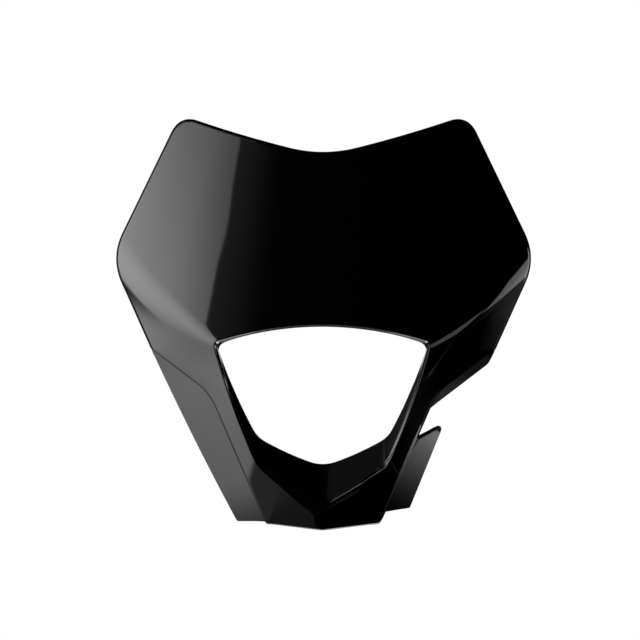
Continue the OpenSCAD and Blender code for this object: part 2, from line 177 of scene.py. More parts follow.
def lip_y(x, z):
    """The depth of the window's rear lip, which leans and curves back towards its sides."""
    leaning = math.tan(math.radians(LIP_LEAN)) * (BROW_Z - z)
    return -BROW_Y + LIP_BACK + leaning + LIP_CURVE * (x / LIP_X) ** 2


def on_lip(x, z):
    return np.array([x, lip_y(x, z), z])


STEP_P, KNEE_P = on_cheek(*STEP), on_cheek(*KNEE)
ARM_SHARE = 0.66
ARM_END = on_cheek(mix(KNEE_P[0], FOOT[0], ARM_SHARE), mix(KNEE_P[2], FOOT[2], ARM_SHARE))
TOP_SHARE = ([0, 1, 2], [0, 0.6, 1])
SIDE_SHARE = ([2, 3, 4, 5], [0, 0.2, 0.48, 1])
NOSE_SHARE = ([5, 6, 7], [0, 0.36, 1])
NO_BOW = np.zeros(3)


def between(a, b, k):
    """A straight span from a at station k to b at the next."""
    return (a, b, NO_BOW, ([k, k + 1], [0, 1]))


FRONT = [
    (on_plate(0, BROW_Z), EYE_P, Z * (BROW_Z - EYE[1]) / 4, TOP_SHARE),
    (EYE_P, ARM_FOOT, SIDE_BOW * np.array([0.93, 0, -0.37]), SIDE_SHARE),
    (ARM_FOOT, NOSE, np.array([-0.6, -1.5, -1.4]), NOSE_SHARE),
]
FOLD = [
    (on_plate(0, NOTCH_Z), TOP_P, TOP_HOLLOW * np.array([0.3, 0, -1]), ([0, 1], [0, 1])),
    between(TOP_P, WIDE_P, 1), between(WIDE_P, STEP_P, 2), between(STEP_P, KNEE_P, 3),
    between(KNEE_P, ARM_END, 4), between(ARM_END, FOOT, 5), between(FOOT, CHIN, 6),
]
LIP = [
    (on_lip(0, BROW_Z), on_lip(LIP_X, LIP_Z), Z * (BROW_Z - LIP_Z) / 4, TOP_SHARE),
    (on_lip(LIP_X, LIP_Z), on_lip(*LIP_FOOT), SIDE_BOW * np.array([0.7, 0, -0.3]), SIDE_SHARE),
    (on_lip(*LIP_FOOT), on_lip(0, LIP_LOW), np.array([0, 0, -1.6]), NOSE_SHARE),
]
FRONT_REACH = np.array([0, 0, CREASE_IN, 10, 10, 6, 3, 10.0])
FOLD_REACH = np.array([24, 13, 19, 2, 12, 4, 1.6, 6.0])
LIP_REACH = np.array([0, 0, 5, 10, 10, 6, 3, 9.0])


def rail(spans, s):
    """Points of a rail at stations s, before its corners are rounded."""
    out = np.zeros(s.shape + (3,))
    for a, b, bow, (stations, shares) in reversed(spans):
        here = s <= stations[-1] + 1e-9
        f = column(np.interp(s, stations, shares))
        out[here] = (mix(a, b, f) + bow * arch(f))[here]
    return out


def mirrored(make, s, *more):
    """Past either end, a rail goes on as its own mirror image."""
    inside = np.where(s < 0, -s, np.where(s > LAST, 2 * LAST - s, s))
    p = make(inside, *more)
    return np.where(column((s < 0) | (s > LAST)), flipped(p), p)


MOST = 0.45  # a rounding takes less than half of the way to the next corner


def rounded(make, reach, s, *more):
    """Rounds the corner that a curve makes at each station."""
    k = np.round(s)
    here, back, on = (mirrored(make, k + d, *more) for d in (0, -1, 1))
    before = np.minimum(MOST, reach / np.maximum(length(here - back), 0.01))
    after = np.minimum(MOST, reach / np.maximum(length(on - here), 0.01))
    t = (s - k + before) / np.maximum(before + after, 1e-6)
    soft = bend(mirrored(make, k - before, *more), here, mirrored(make, k + after, *more),
                column(np.clip(t, 0, 1)))
    return np.where(column((t > 0) & (t < 1)), soft, mirrored(make, s, *more))


print("plate's corners, mm:", [tuple(p.round(1)) for p in (EYE_P, TOP_P, WIDE_P)])


# %% [markdown]
# ## The outer skin
# Straight lines join the window's edge, u = 0, to the outer fold, u = 1. Above the shoulder
# crease they are laid on the plate's cone. Every crease is then rounded as a mould's is.

# %% The skin as a function
SAG_WAY = np.array([0.63, 0, -0.77])
CONE_X = 160


def cone_y(p):
    """The plate's depth at points, held to where its cone is defined."""
    return plate_y(np.clip(p[..., 0], -CONE_X, CONE_X), p[..., 2])


def nearest(s):
    """The station nearest to s, counted from the top on either half of the ring."""
    k = np.round(s).astype(int) % (2 * LAST)
    return np.where(k > LAST, 2 * LAST - k, k)


def chord(s, u):
    """The straight line across the skin, with a sag that belongs to the shoulder crease."""
    hat = np.maximum(0, 1 - abs(s - 2))
    sag = column(CREASE_SAG * arch(u) * hat) * SAG_WAY
    return mix(rail(FRONT, s), rail(FOLD, s), column(u)) + sag


def sharp(s, u):
    """The skin before its creases are rounded: the plate's cone fades out below the shoulder."""
    p = chord(s, u)
    shoulder = chord(np.full_like(s, 2.0), u)
    rise = cone_y(shoulder) - shoulder[..., 1]
    cone = cone_y(p) - p[..., 1]
    fade = np.maximum(0, 1 - (s - 2) / 2) ** 2
    return p + column(np.where(s <= 2, cone, rise * fade)) * Y


def skin(s, u):
    s, u = np.broadcast_arrays(np.asarray(s, float), np.asarray(u, float))
    k = nearest(s)
    reach = mix(FRONT_REACH[k], FOLD_REACH[k], np.clip(u, 0, 1) ** 0.6)
    p = rounded(sharp, reach, s, u)
    return np.where(column(k < 2), p * (X + Z) + column(cone_y(p)) * Y, p)


def lip(s):
    def straight(q):
        return rail(LIP, q)

    return rounded(straight, LIP_REACH[nearest(s)], s)


NUDGE = 0.004


def away(before, after):
    """The direction away from the window, in the front plane."""
    d = unit((after - before) * (X + Z))
    return np.stack([-d[..., 2], np.zeros_like(d[..., 0]), d[..., 0]], -1)


def normal(s, u):
    """The direction straight out of the skin."""
    v = np.clip(u, 0.01, 0.99)
    return unit(np.cross(skin(s + NUDGE, v) - skin(s - NUDGE, v), skin(s, v + 0.01) - skin(s, v - 0.01)))


def fold_away(s):
    """The direction away from the window at the outer fold."""
    return away(skin(s - NUDGE, 1.0), skin(s + NUDGE, 1.0))


def flange(s, h):
    """The flange's outside, h behind the outer fold."""
    flare = np.interp(s, [0, 2, 2.4, 5.8, 6.2, 7], [RIM_FLARE, RIM_FLARE, ARM_FLARE, ARM_FLARE, 0, 0])
    return skin(s, 1.0) + fold_away(s) * column(flare * h / RIM_D) + Y * h


print("widest corner, mm:", skin(2.0, 1.0).round(1))


# %% [markdown]
# ## One section of the shell
# From the window's rear lip forward over the small ledge, round the window's edge, along the
# skin, round the outer fold, back along the flange and home along the inner face.

# %% The section, and the ring of sections
def crowd(t):
    """Draws evenly spaced shares towards both ends, where the rounded corners are."""
    return t - 0.11 * np.sin(2 * math.pi * t)


half = np.concatenate([k + crowd(np.arange(n) / n) for k, n in enumerate(SECTIONS)] + [[LAST]])
WALLS, ARC, FACE, BACK = 12, 9, 46, 26  # points along each stretch of a section
CHIN_FROM, CHIN_FULL = 4.7, 5.2  # the stations where the nose's wide fold begins and is whole
NOSE_OPENS = ([CHIN_FROM, CHIN_FULL, 6, 6.5, LAST], [0, 0.12, 0.3, 0.7, 1])
RIM_ROUND, TUCK = 0.35, 0.2
LEDGE_DROP, LEDGE_ROUND = 0.3, 0.12


def slanted(along, m):
    """How far to go along a direction to get through one wall's thickness, measured along m."""
    return WALL / np.maximum(0.5, abs((along * m).sum(-1)))


def section(s):
    """Every station's section: points by station, and whether each lies on the inner face."""
    edge, fold, back = skin(s, 0.0), skin(s, 1.0), lip(s)
    across, deep = length(fold - edge), length(back - edge)
    chin = np.clip((s - CHIN_FROM) / (CHIN_FULL - CHIN_FROM), 0, 1)
    reach = mix(EDGE, NOSE_REACH, chin)
    opened = np.interp(s, *NOSE_OPENS)
    fall = np.maximum(EDGE * (1 - chin), NOSE_FALL * opened)
    in_u, in_w = np.minimum(fall / across, 0.8), reach / deep
    out_u = 1 - EDGE / across
    m, front_m = fold_away(s), away(skin(s - NUDGE, 0.0), skin(s + NUDGE, 0.0))
    ledge = column(LEDGE_W * (1 - chin))
    share = column((LEDGE_D + reach) / deep)
    top = mix(edge, back, share)
    inner_top, outer_top = top - front_m * ledge, top - front_m * ledge * 0.5 - Y * LEDGE_DROP
    flat = (fold - edge) * (X + Z)
    flat_len, flat_dir = length(flat), unit(flat)
    u_in = slanted(flat_dir, front_m) / flat_len
    u_out = 1 - slanted(flat_dir, m) / flat_len
    lip_m = away(lip(s - NUDGE), lip(s + NUDGE))
    wall_n = unit(np.cross(lip(s + NUDGE) - lip(s - NUDGE), back - edge))
    lip_off = lip_m * column(slanted(wall_n, lip_m))
    rows, inside = [], []

    def add(p, hidden=0.0):
        rows.append(p)
        inside.append(hidden)

    # from the window's rear lip forward to the ledge, and over it
    for t in np.linspace(0.02, 1, WALLS):
        add(mix(back, inner_top, t))
    add(mix(inner_top, outer_top, 0.5) - Y * LEDGE_ROUND)
    add(outer_top)
    # round the window's edge, or over the chin's wide fold
    start, stop = mix(edge, back, column(in_w)), skin(s, in_u)
    turn = mix(edge, (start + stop) / 2, column(NOSE_FLAT * chin))
    past_start = start + unit(back - start) * column(mix(0.2, 2.0, chin))
    past_u = in_u + mix(0.2, 0.7, chin) / across
    from_start = mix(start, turn, column(mix(0.12, 0.5, chin)))
    to_stop = mix(turn, stop, column(mix(0.88, 0.8, chin)))
    add(mix(outer_top, past_start, 0.5))
    for t in (0, 0.33, 0.67):
        add(bend(past_start, start, from_start, t))
    for t in np.arange(ARC) / ARC:
        add(bend(from_start, turn, to_stop, t))
    for t in (0, 0.33, 0.67, 1):
        add(bend(to_stop, stop, skin(s, past_u), t))
    # along the skin and round the outer fold
    for t in np.arange(1, FACE) / FACE:
        add(skin(s, mix(past_u, out_u, t)))
    tip = flange(s, EDGE)
    for t in np.linspace(0, 1, ARC):
        add(bend(skin(s, out_u), fold, tip, t))
    # back along the flange and round its rear rim
    for t in (0.1, 0.35, 0.65, 0.93):
        add(mix(tip, flange(s, RIM_D), t))
    rear = flange(s, RIM_D)
    add(rear - m * RIM_ROUND)
    add(rear - m * (WALL - RIM_ROUND), 1.0)
    add(mix(rear, flange(s, EDGE), 0.07) - m * WALL, 1.0)
    # home along the inner face and the back of the window's wall
    for t in np.linspace(0, 1, BACK):
        u = mix(u_out, u_in, t)
        add(skin(s, u) + Y * column(WALL / abs(normal(s, u)[..., 1])), 1.0)
    inner_end, hem = rows[-1], back + lip_off
    for t in (0.2, 0.6, 0.96):
        add(mix(inner_end, hem, t), 1.0)
    tuck = unit(back - edge) * TUCK
    add(mix(hem, back, 0.12) + tuck, 0.6)
    add(mix(hem, back, 0.88) + tuck, 0.3)
    return np.stack(rows, 1), np.array(inside)


points, hidden = section(half)
print("sections and points in each:", points.shape[:2])

# %% [markdown]
# ## Making meshes
# A closed grid of quads is the cleanest mesh for a lofted shape. The inside of a moulding is
# left with the mould's fine grain, so each point also says how far it counts as inside.

# %% Mesh tools
def make_mesh(name, verts, faces, inside, crisp=38):
    """A smooth-shaded mesh in metres, sharp where faces meet at more than crisp degrees."""
    mesh = bpy.data.meshes.new(name)
    verts = np.asarray(verts, float) * MM
    mesh.from_pydata(verts.tolist(), [], [list(map(int, f)) for f in faces])
    mesh.validate()
    grain = mesh.attributes.new("inside", "FLOAT", "POINT")
    grain.data.foreach_set("value", np.asarray(inside, np.float32))
    mesh.shade_smooth()
    mesh.set_sharp_from_angle(angle=math.radians(crisp))
    piece = bpy.data.objects.new(name, mesh)
    scene.collection.objects.link(piece)
    keep = piece.modifiers.new("flat faces stay flat", "WEIGHTED_NORMAL")
    keep.keep_sharp = True
    return piece


def volume(verts, quads):
    """The volume inside quads: negative when they face inward."""
    a, b, c, d = (verts[quads[:, i]] for i in range(4))
    return ((a * np.cross(b, c)).sum() + (a * np.cross(c, d)).sum()) / 6


def grid(rows, cols, ring_rows, ring_cols):
    """Quads over rows and columns of points, closed into a ring either way or both."""
    i = np.arange(rows if ring_rows else rows - 1)
    j = np.arange(cols if ring_cols else cols - 1)
    i, j = (q.ravel() for q in np.meshgrid(i, j, indexing="ij"))
    i2, j2 = (i + 1) % rows, (j + 1) % cols
    return np.stack([i * cols + j, i2 * cols + j, i2 * cols + j2, i * cols + j2], 1)


def solid(name, rings, inside, ring_rows=False, crisp=38):
    """A closed mesh from a stack of closed loops; open stacks get their ends filled."""
    rows, cols = rings.shape[:2]
    verts = rings.reshape(-1, 3)
    quads = grid(rows, cols, ring_rows, True)
    first, last = list(range(cols)), list(range((rows - 1) * cols, rows * cols))
    caps = [] if ring_rows else [first[::-1], last]
    faces = quads.tolist() + caps
    if volume(verts - verts.mean(0), quads) < 0:
        faces = [f[::-1] for f in faces]
    values = np.broadcast_to(inside, (rows, cols)).reshape(-1)
    return make_mesh(name, verts, faces, values, crisp)


other_half = flipped(points[-2:0:-1])
ring = np.concatenate([points, other_half])
cowl_skin = solid("cowl_skin", ring, hidden, ring_rows=True)
print("skin faces:", len(cowl_skin.data.polygons))

# %% [markdown]
# ## Side panels
# Behind each arm's flange the moulding steps back and runs on as a side panel. A panel is a
# ruled surface from the step, v = 0, to its rear edge, v = 1. The panel at +X is cut through
# for the brake hose, which leaves a strip above the notch and a tab below it.

# %% The panels' surface
PANEL_FROM, PANEL_TO, KNEE_SHARE = 3, 5.985, 0.3
PANEL_BOW_WAY = np.array([0.9, 0, -0.4])


def panel_share(s):
    """How far down its rear edge a panel has come at a station."""
    below_knee = mix(KNEE_SHARE, 1, np.interp(s, [4, 5, 6], [0, ARM_SHARE, 1]))
    return np.where(s < 4, KNEE_SHARE * (s - PANEL_FROM), below_knee)


def behind_cheek(p, s):
    """Moves points back, or forward, to where the panel runs behind the cheek's plane."""
    x, z = p[..., 0], p[..., 2]
    to_knee, past_arm = np.clip(4 - s, 0, 1), np.clip(s - 5, 0, 1)
    at_start = (PANEL_START_STEP - PANEL_STEP) * to_knee ** 2.5
    at_foot = (PANEL_FOOT_STEP - PANEL_STEP) * past_arm ** 1.5
    return np.stack([x, cheek_y(x, z) + PANEL_STEP + at_start + at_foot, z], -1)


def panel_rear(s):
    """The panel's rear edge, v = 1."""
    f = column(panel_share(s))
    return behind_cheek(mix(PANEL_TOP, PANEL_FOOT, f) + PANEL_BOW * arch(f) * PANEL_BOW_WAY, s)


def panel_root(s):
    """The line inside the flange where the panel starts, v = 0."""
    return behind_cheek(skin(s, 1.0) - ROOT * fold_away(s), s)


def on_panel(s, v):
    return mix(panel_root(s), panel_rear(s), column(v))


def panel_normal(s, v):
    outward = on_panel(s, v + 0.01) - on_panel(s, v - 0.01)
    n = np.cross(outward, on_panel(s + NUDGE, v) - on_panel(s - NUDGE, v))
    return unit(n * column(np.sign((n * (X - Y)).sum(-1))))


def beside(p, a, b):
    """How far points lie to one side of the line from a to b, seen from the front."""
    return (b[0] - a[0]) * (p[..., 2] - a[1]) - (b[1] - a[1]) * (p[..., 0] - a[0])


def solve(f, low, high):
    """Where f changes sign between low and high, by halving."""
    low, high = np.array(low, float), np.array(high, float)
    up = f(low) < 0
    for _ in range(40):
        mid = (low + high) / 2
        left = (f(mid) < 0) == up
        low, high = np.where(left, mid, low), np.where(left, high, mid)
    return (low + high) / 2


def locate(x, z):
    """The station and the share at which a point of the front view lies on the panel."""
    x, z = np.broadcast_arrays(np.asarray(x, float), np.asarray(z, float))

    def off(s):
        a, b = panel_root(s), panel_rear(s)
        return (b - a)[..., 0] * (z - a[..., 2]) - (b - a)[..., 2] * (x - a[..., 0])

    s = solve(off, np.full(x.shape, 3.4), np.full(x.shape, 6.2))
    a, b = panel_root(s), panel_rear(s)
    d = (b - a)[..., [0, 2]]
    v = ((x - a[..., 0]) * d[..., 0] + (z - a[..., 2]) * d[..., 1]) / (d * d).sum(-1)
    return np.stack([s, v], -1)


print("panel's rear edge, mm:", panel_rear(np.array([3.0, 6.0])).round(1).tolist())

# %% [markdown]
# A piece of panel is bounded by its root line and a contour with rounded corners. Its rim is
# turned round both edges, as a cutter or a mould leaves it.

# %% Panel pieces
def path_length(sv):
    """How far along a path each of its points lies, in millimetres."""
    p = on_panel(sv[:, 0], sv[:, 1])
    return np.concatenate([[0], np.cumsum(length(np.diff(p, axis=0)))])


def spaced(sv, at):
    """Points at given shares of a path's length."""
    d = path_length(sv)
    return np.stack([np.interp(at * d[-1], d, sv[:, i]) for i in (0, 1)], 1)


FINE, ON_SIDE, ON_CORNER = 200, 120, 12


def contour(sides, reaches, count):
    """Joins sides end to end, with each corner between them rounded."""
    cut = [spaced(side, np.linspace(0, 1, FINE)) for side in sides]
    parts = []
    for i, side in enumerate(cut):
        total = path_length(side)[-1]
        a = reaches[i - 1] / total if i > 0 else 0
        b = 1 - reaches[i] / total if i < len(cut) - 1 else 1
        parts.append(spaced(side, np.linspace(a, b, ON_SIDE)))
        if i < len(cut) - 1:
            nxt = cut[i + 1]
            c = spaced(nxt, np.array([reaches[i] / path_length(nxt)[-1]]))
            t = np.linspace(0, 1, ON_CORNER)[1:-1, None]
            parts.append(bend(parts[-1][-1:], side[-1:], c, t))
    return spaced(np.concatenate(parts), np.linspace(0, 1, count))


def line(a, b, n=60):
    """Points on the straight line from a to b."""
    return np.array(a) + np.linspace(0, 1, n)[:, None] * (np.array(b) - np.array(a))


RIM_R, ACROSS, TURN = 0.8, 16, 5


def panel_piece(name, edge_sv, mirror=False):
    """A plate of the wall's thickness between its root line and a contour on the panel."""
    count = len(edge_sv)
    root_sv = line((edge_sv[0, 0], 0), (edge_sv[-1, 0], 0), count)
    rim = on_panel(edge_sv[:, 0], edge_sv[:, 1])
    n = panel_normal(edge_sv[:, 0], edge_sv[:, 1])
    tangent = unit(np.gradient(rim, axis=0))
    out = unit(np.cross(tangent, n))
    inward = on_panel(*mix(root_sv, edge_sv, 0.8).T) - rim
    if (out * inward).sum() > 0:
        out = -out
    front, back = [], []
    for q in np.linspace(0, 0.94, ACROSS):
        sv = mix(root_sv, edge_sv, q)
        p = on_panel(sv[:, 0], sv[:, 1])
        front.append(p)
        back.append(p - panel_normal(sv[:, 0], sv[:, 1]) * WALL)

    def quarter(depth, first, then):
        centre = rim - out * RIM_R - n * depth
        angles = np.linspace(0, math.pi / 2, TURN)
        return [centre + RIM_R * (first * math.cos(a) + then * math.sin(a)) for a in angles]

    turn = quarter(RIM_R, n, out) + quarter(WALL - RIM_R, out, -n)
    loops = np.stack(front + turn + back[::-1], 1)
    inside = np.array([0.0] * (ACROSS + TURN) + [1.0] * (TURN + ACROSS))
    return solid(name, flipped(loops) if mirror else loops, inside)


# %% [markdown]
# Three contours: the whole panel, the strip above the notch and the tab below it. Each starts
# and ends on the panel's root, and the points of the front view are looked up on the surface.

# %% Whole panel, strip and tab
def rear_off(s):
    """How far the rear edge lies to one side of the notch's upper line."""
    return beside(panel_rear(s), NOTCH_IN, STRIP)


def root_off(s):
    """The same for the root line."""
    return beside(panel_root(s), NOTCH_IN, STRIP)


strip_s = float(solve(rear_off, 3.02, 3.95))
root_s = float(solve(root_off, 3.4, 4.9))
start_side = line((PANEL_FROM, 0), (PANEL_FROM, 1))
rear_side = line((PANEL_FROM, 1), (PANEL_TO, 1))
foot_side = line((PANEL_TO, 1), (PANEL_TO, 0))
ROUND, NOTCH_ROUND, TAB_ROUND, FOOT_ROUND = 1.5, 4.0, 7.5, 1.8  # how round the corners are
whole = contour([start_side, rear_side, foot_side], [ROUND, ROUND], 260)
cut_s = np.linspace(strip_s, root_s, 80)
cut_a, cut_b = root_off(cut_s), rear_off(cut_s)
notch_side = np.stack([cut_s, np.clip(cut_a / (cut_a - cut_b), 0, 1)], 1)
strip_rear = line((PANEL_FROM, 1), (strip_s, 1))
strip = contour([start_side, strip_rear, notch_side], [ROUND, NOTCH_ROUND], 200)
PAST_ROOT = 10  # the tab's upper edge is drawn this far on, past its root
tab_top = mix(np.array(TAB), np.array(TAB_IN), 1 + PAST_ROOT / (TAB[0] - TAB_IN[0]))
tab_floor = (TAB_IN[0] - 40, TAB_FOOT[1] - 5)
sides = []
for a, b in ((tab_top, TAB), (TAB, TAB_FOOT), (TAB_FOOT, tab_floor)):
    xz = line(a, b, ON_SIDE)
    sv = locate(xz[:, 0], xz[:, 1])
    sides.append(sv[(sv[:, 1] > -0.02) & (sv[:, 0] < PANEL_TO)])
tab = contour(sides, [TAB_ROUND, FOOT_ROUND], 260)
panels = [
    panel_piece("side_panel_whole", whole, mirror=True),
    panel_piece("side_panel_strip", strip),
    panel_piece("side_panel_tab", tab),
]
print("notch from station", round(strip_s, 3), "to", round(root_s, 3))

# %% [markdown]
# ## The hidden side
# Four bosses take the lamp's screws, two hooks take the fork straps and two lugs rest on the
# fender. The bosses, their ribs and the hooks are grown from the inner face, found by looking
# straight forward from behind.

# %% The inner face, looked at from behind
bpy.context.view_layer.update()
shell = BVHTree.FromObject(cowl_skin, bpy.context.evaluated_depsgraph_get())
BEHIND = 90


def inner_y(x, z):
    """The inner face's depth at a point of the front view, or None beside the cowl."""
    hit = shell.ray_cast(Vector((x, BEHIND, z)) * MM, Vector((0, -1, 0)))
    return hit[0].y / MM if hit[0] else None


print("inner face behind the hook, mm:", round(inner_y(HOOK_X, HOOK_Z), 1))

# %% [markdown]
# A moulded boss is a post with a blind hole that a self-tapping screw cuts its thread in. Thin
# gussets hold it to the wall, thinner than the wall itself so that no sink mark shows in front.

# %% Bosses and ribs
FILLET, RIB_GAP, BOSS_SIDES = 0.9, 0.6, 48


def boss(name, sx, sz):
    """A round post with a fillet at its foot and a blind pilot hole, as a stack of rings."""
    turn = np.linspace(0, 2 * math.pi, BOSS_SIDES, endpoint=False)
    rings = []

    def loop(r, y=None, lift=0.0):
        """A ring at depth y, or else lifted off the inner face."""
        x, z = sx * BOSS_X + r * np.cos(turn), sz * BOSS_Z + r * np.sin(turn)
        if y is None:
            y = [min(inner_y(a, b) or base, base + 6) + lift for a, b in zip(x, z)]
        rings.append(np.stack([x, np.broadcast_to(y, x.shape), z], 1))

    base = inner_y(sx * BOSS_X, sz * BOSS_Z)
    loop(BOSS_R + FILLET, lift=-FILLET)
    for a in np.array([0, 0.3, 0.6, 1]) * math.pi / 2:
        loop(BOSS_R + FILLET * (1 - math.sin(a)), lift=FILLET * (1 - math.cos(a)))
    for r, y in ((0, -4), (0, -0.45), (-0.12, -0.12), (-0.45, 0)):
        loop(BOSS_R + r, y)
    for r, y in ((0.45, 0), (0.15, -0.1), (0, -0.4), (0, -PILOT_D + 0.2), (-0.2, -PILOT_D)):
        loop(PILOT_R + r, y)
    return solid(name, np.array(rings), 1.0)


def rib(name, sx, sz, dx, dz, reach=11.0, thick=1.6, top=-10.0):
    """A gusset that runs from a boss along the wall."""
    steps = []
    base = inner_y(sx * BOSS_X, sz * BOSS_Z)
    for r in np.linspace(0, reach, 12):
        x, z = sx * BOSS_X + dx * r, sz * BOSS_Z + dz * r
        y = inner_y(x, z)
        if y is None:
            break
        low = y - 1.0
        near = BOSS_R + RIB_GAP
        high = mix(top, base + 3, max(0.0, (r - near) / (reach - near)))
        if high < low + 0.4:
            break
        side = np.array([dz, 0, dx]) * thick / 2
        a, b, shy = np.array([x, low, z]), np.array([x, high, z]), Y * 0.25
        steps.append([a - side, b - side - shy, b - side * 0.65, b + side * 0.65, b + side - shy, a + side])
    return solid(name, np.array(steps), 1.0, crisp=60) if len(steps) > 2 else None


# %% [markdown]
# The hooks and the lugs are plain flat shapes, so each is a block of eight corners whose edges
# a Bevel modifier rounds.

# %% Blocks, hooks and lugs
def block(name, corners, round_off=0.5):
    """Eight corners, x fastest, then y, then z, with every edge rounded off."""
    faces = np.array([(0, 1, 3, 2), (4, 6, 7, 5), (0, 4, 5, 1),
                      (2, 3, 7, 6), (0, 2, 6, 4), (1, 5, 7, 3)])
    if volume(np.array(corners), faces) < 0:
        faces = faces[:, ::-1]
    piece = make_mesh(name, corners, faces, np.ones(8), crisp=30)
    soft = piece.modifiers.new("rounded edges", "BEVEL")
    soft.width, soft.segments, soft.limit_method = round_off * MM, 3, "ANGLE"
    piece.modifiers.move(1, 0)
    return piece


def hook(sx, side):
    """A flat peg from the wall behind the plate, and a lip across its end for the strap."""
    far = plate_y(HOOK_X, HOOK_Z) + WALL + HOOK_L
    peg, lip_across = [], []
    lip_ends = sorted((-sx * HOOK_T / 2, sx * (HOOK_LIP - HOOK_T / 2)))
    for z in (HOOK_Z - HOOK_W / 2, HOOK_Z + HOOK_W / 2):
        for deep in (0, 1):
            for x in (sx * HOOK_X - HOOK_T / 2, sx * HOOK_X + HOOK_T / 2):
                peg.append((x, far if deep else inner_y(x, z) - HOOK_SINK, z))
            for x in lip_ends:
                lip_across.append((sx * HOOK_X + x, far - HOOK_T * (1 - deep), z))
    return block(f"strap_hook_{side}", peg), block(f"strap_hook_lip_{side}", lip_across)


def lug(sx, side):
    """A flat lug that follows the chin's lower edge and reaches back over the fender."""
    tilt = Matrix.Rotation(-sx * math.atan((FOOT[2] - CHIN[2]) / FOOT[0]), 3, "Y")
    near_y = 0.8 * float(skin(6.5, 1.0)[1])
    low_z = float(mix(CHIN[2], FOOT[2], LUG_X / FOOT[0]))
    corners = []
    for z in (WALL * LUG_SINK, WALL * LUG_SINK + LUG_T):
        for y in (0, RIM_D + LUG_L):
            for x in (-LUG_W / 2, LUG_W / 2):
                p = tilt @ Vector((x, 0, z))
                corners.append((sx * LUG_X + p.x, near_y + y, low_z + p.z))
    return block(f"fender_lug_{side}", corners, 0.6)


# %% [markdown]
# Both sides get the same fittings. Only the ribs that the wall has room for are kept.

# %% The fittings on both sides
fittings = []
for sx in (-1, 1):
    side = "left" if sx < 0 else "right"
    for sz in (-1, 1):
        level = "upper" if sz > 0 else "lower"
        fittings.append(boss(f"lamp_boss_{level}_{side}", sx, sz))
        for way, (dx, dz) in {"out": (sx, 0), "in": (-sx, 0), "up": (0, 1), "down": (0, -1)}.items():
            if (level, way) not in {("lower", "out"), ("upper", "down")}:
                fittings.append(rib(f"boss_rib_{level}_{side}_{way}", sx, sz, dx, dz))
    fittings.extend(hook(sx, side))
    fittings.append(lug(sx, side))
fittings = [f for f in fittings if f]
print("fittings:", len(fittings))

# %% [markdown]
# ## Onto the part
# A finer curve bulges a hair further than the CAD part's coarser one, so the pieces are drawn
# in by about 0.1 mm to stay inside its box. All of them are one moulding and ride on the root.

# %% Pieces onto the root body
FIT = (1, 0.9987, 0.9995)
pieces = [cowl_skin, *panels, *fittings]
middle = (Vector(cad_low) + Vector(cad_high)) / 2
drawn_in = Matrix.Translation(middle) @ Matrix.Diagonal((*FIT, 1)) @ Matrix.Translation(-middle)
for piece in pieces:
    piece.data.transform(drawn_in)
    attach(piece, "root")
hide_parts("cowl")
print("pieces:", len(pieces))

# %% [markdown]
# ## Gloss black plastic
# The plastic is black all through and takes the mould's polish: a mirror with four per cent
# reflection head on. Broad, shallow waves from uneven cooling bend the reflections a little,
# fine wipe marks soften them, and the inner face keeps the mould's fine grain. Shader maths is
# written as plain expressions on the small class below, and each of them adds its own nodes.

# %% Node shorthand
class Sum:
    """A socket that can be added to, multiplied and so on, as numbers are."""

    def __init__(self, tree, socket):
        self.tree, self.socket = tree, socket

    def do(self, operation, *others, first=None):
        """Adds one Math node, with this socket first or after the value named first."""
        node = self.tree.nodes.new("ShaderNodeMath")
        node.operation = operation
        values = [self, *others] if first is None else [first, self, *others]
        for slot, value in zip(node.inputs, values):
            put(self.tree, slot, value)
        return Sum(self.tree, node.outputs[0])

    def __add__(self, other):
        return self.do("ADD", other)

    def __radd__(self, other):
        return self.do("ADD", first=other)

    def __sub__(self, other):
        return self.do("SUBTRACT", other)

    def __rsub__(self, other):
        return self.do("SUBTRACT", first=other)

    def __mul__(self, other):
        return self.do("MULTIPLY", other)

    def __rmul__(self, other):
        return self.do("MULTIPLY", first=other)

    def __truediv__(self, other):
        return self.do("DIVIDE", other)


def put(tree, slot, value):
    """Links a socket into a slot, or sets the slot's value."""
    if isinstance(value, Sum):
        tree.links.new(value.socket, slot)
    elif isinstance(value, bpy.types.NodeSocket):
        tree.links.new(value, slot)
    elif value is not None:
        slot.default_value = value


class Board:
    """One material's nodes."""

    def __init__(self, tree):
        self.tree = tree

    def node(self, kind, settings=None, **inputs):
        """Adds any other node: its type, its settings, then its sockets' values or links."""
        made = self.tree.nodes.new(kind)
        for key, value in (settings or {}).items():
            setattr(made, key, value)
        for key, value in inputs.items():
            put(self.tree, made.inputs[key.replace("_", " ")], value)
        return made

    def value(self, node, output=0):
        """A node's output, ready for expressions."""
        return Sum(self.tree, node.outputs[output])


def fresh(name):
    """An empty material and its board."""
    material = bpy.data.materials.new(name)
    material.use_nodes = True
    material.node_tree.nodes.clear()
    return material, Board(material.node_tree)


# %% [markdown]
# One material covers every piece. The waves and the grain are heights for a Bump node, in
# metres, and the wipe marks are long along one way because a cloth leaves them so.

